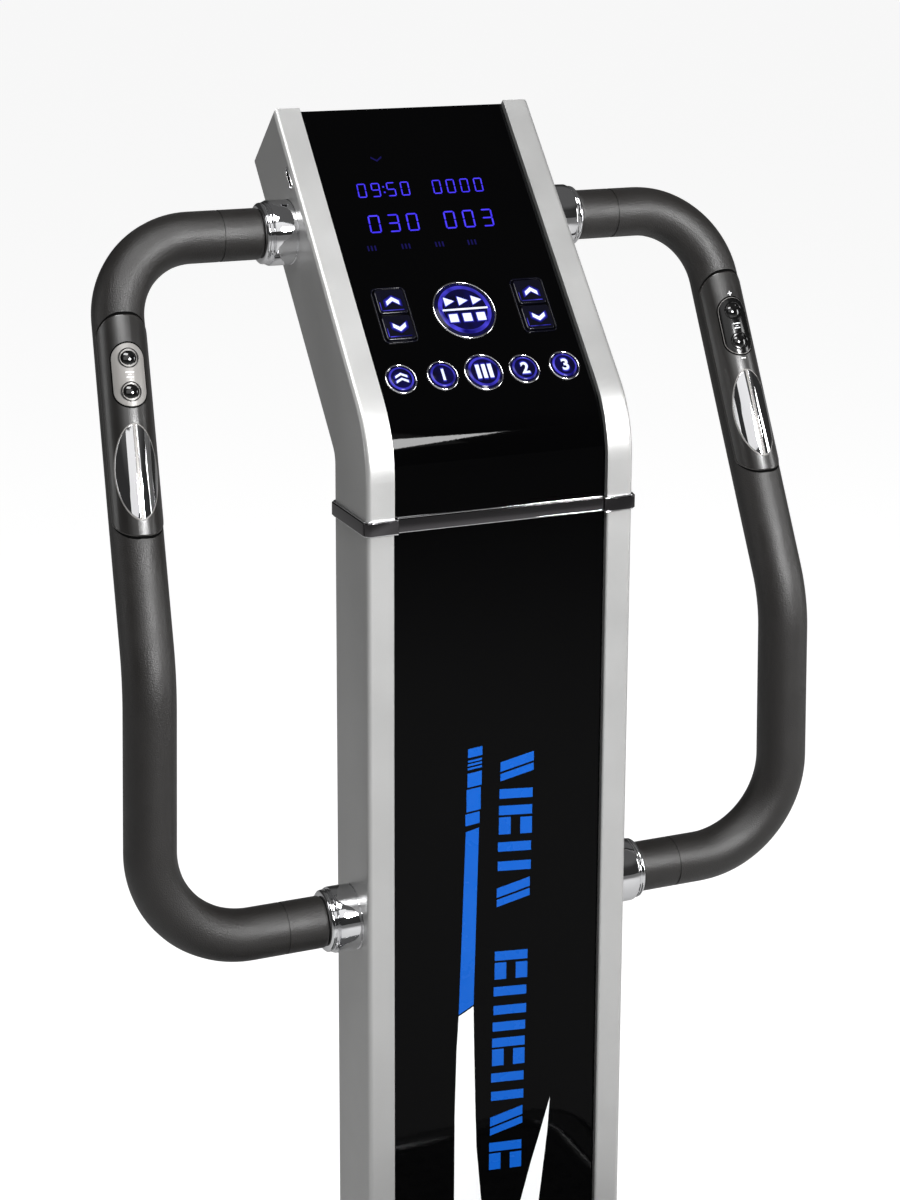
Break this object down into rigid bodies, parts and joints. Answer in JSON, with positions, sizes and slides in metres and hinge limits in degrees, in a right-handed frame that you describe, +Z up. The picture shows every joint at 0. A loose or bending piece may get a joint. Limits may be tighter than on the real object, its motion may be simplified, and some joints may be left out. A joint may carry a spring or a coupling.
{
  "type": "vibration plate",
  "caption": "Free-standing vibration plate: low drive base with rocking platform, column, leaning console and two foam handrails with pulse pods.",
  "frame": {"origin": "on the floor, under the middle of the machine's box", "axes": "+Z up, user stands on the -Y side and faces +Y, +X to the user's right"},
  "size_m": [0.6362, 0.746, 1.2678],
  "materials": {
    "silver_paint": "satin silver coat on extruded aluminium",
    "silver_plastic": "satin silver moulding",
    "gloss_black": "high gloss black",
    "dark_chrome": "dark bright plating",
    "chrome": "bright plating",
    "foam": "closed-cell foam",
    "pod_black": "satin black moulding",
    "plate_grey": "satin grey",
    "dome_black": "gloss domed",
    "glow_blue": "lit blue cap",
    "key_black": "gloss black, lit mark",
    "black_plastic": "moulded",
    "base_black": "satin black moulding",
    "steel": "powder coat",
    "steel_tube": "drawn tube",
    "zinc_steel": "zinc plated",
    "cast_aluminium": "cast",
    "cast_iron": "cast",
    "motor_paint": "black enamel",
    "belt_rubber": "moulded",
    "circuit_green": "laminate",
    "switch_red": "gloss",
    "rubber": "moulded",
    "wheel_rubber": "moulded",
    "mat_rubber": "ribbed"
  },
  "bodies": {
    "root": {"rubber_feet": "rubber", "base_tray": "black_plastic", "base_frame": "steel", "base_cover": "base_black", "column_shroud": "base_black", "wheel_axles": "zinc_steel", "pivot_shaft": "zinc_steel", "pillow_blocks": "cast_iron", "motor_body": "motor_paint", "drive_belt": "belt_rubber", "drive_board": "circuit_green", "power_inlet": "black_plastic", "column_spine": "steel", "column_left_profile": "silver_paint", "column_right_profile": "silver_paint", "column_front_panel": "gloss_black", "column_back_cover": "silver_plastic", "trim_band": "dark_chrome", "head_left_side": "silver_paint", "head_right_side": "silver_paint", "head_fascia": "gloss_black", "head_back_cover": "silver_plastic", "display_module": "black_plastic", "console_board": "circuit_green", "button_bezels": "chrome", "usb_socket": "chrome", "handle_tube_left": "steel_tube", "handle_tube_right": "steel_tube", "foam_grip_left": "foam", "foam_grip_right": "foam", "handle_collars": "chrome", "set_screws": "zinc_steel", "sensor_pod_left": "pod_black", "sensor_pod_right": "pod_black", "pod_plates": "plate_grey", "pulse_plates": "chrome"},
    "platform": {"platform_frame": "steel", "platform_deck": "silver_plastic", "platform_mat": "mat_rubber", "connecting_rods": "cast_aluminium"},
    "crank": {"crankshaft": "zinc_steel", "crank_pulley": "cast_aluminium"},
    "motor_rotor": {"motor_rotor": "zinc_steel"},
    "wheel_left": {"wheel_left": "wheel_rubber"},
    "wheel_right": {"wheel_right": "wheel_rubber"},
    "power_switch": {"power_switch": "switch_red"},
    "start_stop_button": {"start_stop_button": "glow_blue"},
    "mode_button": {"mode_button": "glow_blue"},
    "preset_button_1": {"preset_button_1": "glow_blue"},
    "preset_button_2": {"preset_button_2": "glow_blue"},
    "preset_button_3": {"preset_button_3": "glow_blue"},
    "preset_button_4": {"preset_button_4": "glow_blue"},
    "key_up_left": {"key_up_left": "key_black"},
    "key_down_left": {"key_down_left": "key_black"},
    "key_up_right": {"key_up_right": "key_black"},
    "key_down_right": {"key_down_right": "key_black"},
    "pod_button_upper_left": {"pod_button_upper_left": "dome_black"},
    "pod_button_lower_left": {"pod_button_lower_left": "dome_black"},
    "pod_button_upper_right": {"pod_button_upper_right": "dome_black"},
    "pod_button_lower_right": {"pod_button_lower_right": "dome_black"}
  },
  "joints": [
    {"name": "platform_rock", "type": "hinge", "parent": "root", "child": "platform", "pos_m": [0, -0.15298, 0.086], "axis": [0, 1, 0], "range_deg": [-2.2, 2.2]},
    {"name": "crank_spin", "type": "hinge", "parent": "root", "child": "crank", "pos_m": [0.09, -0.15298, 0.072], "axis": [0, 1, 0], "continuous": true},
    {"name": "motor_spin", "type": "hinge", "parent": "root", "child": "motor_rotor", "pos_m": [-0.07, -0.15298, 0.072], "axis": [0, 1, 0], "continuous": true},
    {"name": "wheel_left_spin", "type": "hinge", "parent": "root", "child": "wheel_left", "pos_m": [-0.225, 0.23302, 0.034], "axis": [1, 0, 0], "continuous": true},
    {"name": "wheel_right_spin", "type": "hinge", "parent": "root", "child": "wheel_right", "pos_m": [0.225, 0.23302, 0.034], "axis": [1, 0, 0], "continuous": true},
    {"name": "power_switch_rock", "type": "hinge", "parent": "root", "child": "power_switch", "pos_m": [0.082, 0.24321, 0.068], "axis": [1, 0, 0], "range_deg": [-8, 8]},
    {"name": "start_stop_button_press", "type": "slide", "parent": "root", "child": "start_stop_button", "axis": [0, 0.7431, -0.6691], "range_m": [0, 0.0012], "stiffness_N_per_m": 1500, "springref_m": -0.001},
    {"name": "mode_button_press", "type": "slide", "parent": "root", "child": "mode_button", "axis": [0, 0.7431, -0.6691], "range_m": [0, 0.0012], "stiffness_N_per_m": 1500, "springref_m": -0.001},
    {"name": "preset_button_1_press", "type": "slide", "parent": "root", "child": "preset_button_1", "axis": [0, 0.7431, -0.6691], "range_m": [0, 0.0012], "stiffness_N_per_m": 1500, "springref_m": -0.001},
    {"name": "preset_button_2_press", "type": "slide", "parent": "root", "child": "preset_button_2", "axis": [0, 0.7431, -0.6691], "range_m": [0, 0.0012], "stiffness_N_per_m": 1500, "springref_m": -0.001},
    {"name": "preset_button_3_press", "type": "slide", "parent": "root", "child": "preset_button_3", "axis": [0, 0.7431, -0.6691], "range_m": [0, 0.0012], "stiffness_N_per_m": 1500, "springref_m": -0.001},
    {"name": "preset_button_4_press", "type": "slide", "parent": "root", "child": "preset_button_4", "axis": [0, 0.7431, -0.6691], "range_m": [0, 0.0012], "stiffness_N_per_m": 1500, "springref_m": -0.001},
    {"name": "key_up_left_press", "type": "slide", "parent": "root", "child": "key_up_left", "axis": [0, 0.7431, -0.6691], "range_m": [0, 0.0012], "stiffness_N_per_m": 1500, "springref_m": -0.001},
    {"name": "key_down_left_press", "type": "slide", "parent": "root", "child": "key_down_left", "axis": [0, 0.7431, -0.6691], "range_m": [0, 0.0012], "stiffness_N_per_m": 1500, "springref_m": -0.001},
    {"name": "key_up_right_press", "type": "slide", "parent": "root", "child": "key_up_right", "axis": [0, 0.7431, -0.6691], "range_m": [0, 0.0012], "stiffness_N_per_m": 1500, "springref_m": -0.001},
    {"name": "key_down_right_press", "type": "slide", "parent": "root", "child": "key_down_right", "axis": [0, 0.7431, -0.6691], "range_m": [0, 0.0012], "stiffness_N_per_m": 1500, "springref_m": -0.001},
    {"name": "pod_button_upper_left_press", "type": "slide", "parent": "root", "child": "pod_button_upper_left", "axis": [0, 0.9179, -0.3969], "range_m": [0, 0.0008], "stiffness_N_per_m": 1500, "springref_m": -0.001},
    {"name": "pod_button_lower_left_press", "type": "slide", "parent": "root", "child": "pod_button_lower_left", "axis": [0, 0.9179, -0.3969], "range_m": [0, 0.0008], "stiffness_N_per_m": 1500, "springref_m": -0.001},
    {"name": "pod_button_upper_right_press", "type": "slide", "parent": "root", "child": "pod_button_upper_right", "axis": [0, 0.9179, -0.3969], "range_m": [0, 0.0008], "stiffness_N_per_m": 1500, "springref_m": -0.001},
    {"name": "pod_button_lower_right_press", "type": "slide", "parent": "root", "child": "pod_button_lower_right", "axis": [0, 0.9179, -0.3969], "range_m": [0, 0.0008], "stiffness_N_per_m": 1500, "springref_m": -0.001}
  ],
  "couplings": [
    {"joint": "motor_spin", "follows": "crank_spin", "ratio": 2.4}
  ]
}
